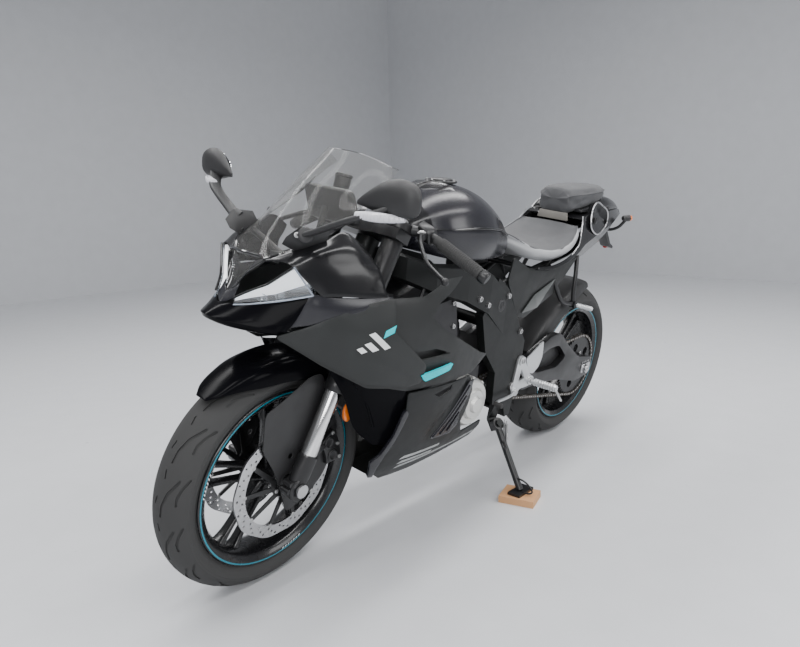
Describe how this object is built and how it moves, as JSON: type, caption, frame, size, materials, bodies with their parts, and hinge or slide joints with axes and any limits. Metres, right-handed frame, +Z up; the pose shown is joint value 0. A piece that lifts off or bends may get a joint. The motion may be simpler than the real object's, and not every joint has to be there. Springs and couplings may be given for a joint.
{
  "type": "sport bike",
  "caption": "Full-faired two-wheeled sport motorcycle leaning on its side stand, with turning wheels, steering and a folding stand.",
  "frame": {"origin": "on the floor, at the middle of the parked bike's plan", "axes": "+X along the bike towards its front, +Y to its left, +Z up; the bike leans to its left on its stand"},
  "size_m": [2.0348, 0.7446, 1.1007],
  "materials": {
    "black_plastic": "moulded",
    "board_wood": "bare wood",
    "cast_silver": "fine cast",
    "frame_dark": "satin dark grey",
    "gloss_black": "deep gloss",
    "grip_rubber": "soft",
    "lens": "clear lens",
    "matte_grey": "matte dark grey",
    "metal_dark": "satin black",
    "red_lens": "red lens",
    "screen": "tinted clear",
    "seat_cover": "dark grey cover",
    "steel": "drilled steel",
    "tyre_rubber": "grooved"
  },
  "bodies": {
    "chassis": {"air_ducts": "gloss_black", "chain": "steel", "dashboard": "black_plastic", "engine": "metal_dark", "engine_covers": "cast_silver", "exhaust": "steel", "fairing_stay": "metal_dark", "frame": "frame_dark", "fuel_tank": "gloss_black", "headlights": "lens", "lower_fairings": "matte_grey", "mirrors": "black_plastic", "nose_beak": "gloss_black", "nose_fairing": "matte_grey", "pillion_pegs": "cast_silver", "pillion_seat": "seat_cover", "radiator": "metal_dark", "rear_axle": "steel", "rear_caliper": "metal_dark", "rear_hugger": "black_plastic", "rear_shock": "metal_dark", "rearset_left": "cast_silver", "rearset_right": "cast_silver", "rider_seat": "seat_cover", "side_fairings": "matte_grey", "subframe": "metal_dark", "swingarm": "frame_dark", "swingarm_pivot": "steel", "tail_fairing": "gloss_black", "tail_lamp": "red_lens", "undertray": "black_plastic", "windscreen": "screen"},
    "steering": {"fork_legs": "metal_dark", "front_axle": "steel", "fork_clamps": "metal_dark", "fork_shrouds": "black_plastic", "front_fender": "gloss_black", "front_calipers": "metal_dark", "handlebars": "metal_dark", "grips": "grip_rubber"},
    "front_wheel": {"front_tyre": "tyre_rubber", "front_rim": "metal_dark", "front_discs": "steel"},
    "rear_wheel": {"rear_tyre": "tyre_rubber", "rear_rim": "metal_dark", "rear_sprocket": "steel", "rear_disc": "steel"},
    "side_stand": {"side_stand": "metal_dark", "stand_board": "board_wood"}
  },
  "joints": [
    {"name": "steering_turn", "type": "hinge", "parent": "chassis", "child": "steering", "pos_m": [0.45457, -0.03509, 0.79053], "axis": [-0.4139, 0.1471, 0.8984], "range_deg": [-30, 22]},
    {"name": "front_wheel_spin", "type": "hinge", "parent": "steering", "child": "front_wheel", "pos_m": [0.71799, -0.11379, 0.29571], "axis": [-0.0636, 0.9798, -0.1897], "continuous": true},
    {"name": "rear_wheel_spin", "type": "hinge", "parent": "chassis", "child": "rear_wheel", "pos_m": [-0.68193, -0.1136, 0.31215], "axis": [-0.0001, 0.9869, -0.1616], "continuous": true},
    {"name": "side_stand_fold", "type": "hinge", "parent": "chassis", "child": "side_stand", "pos_m": [-0.09001, 0.02328, 0.21929], "axis": [0.228, 0.8292, 0.5103], "range_deg": [0, 95]}
  ]
}
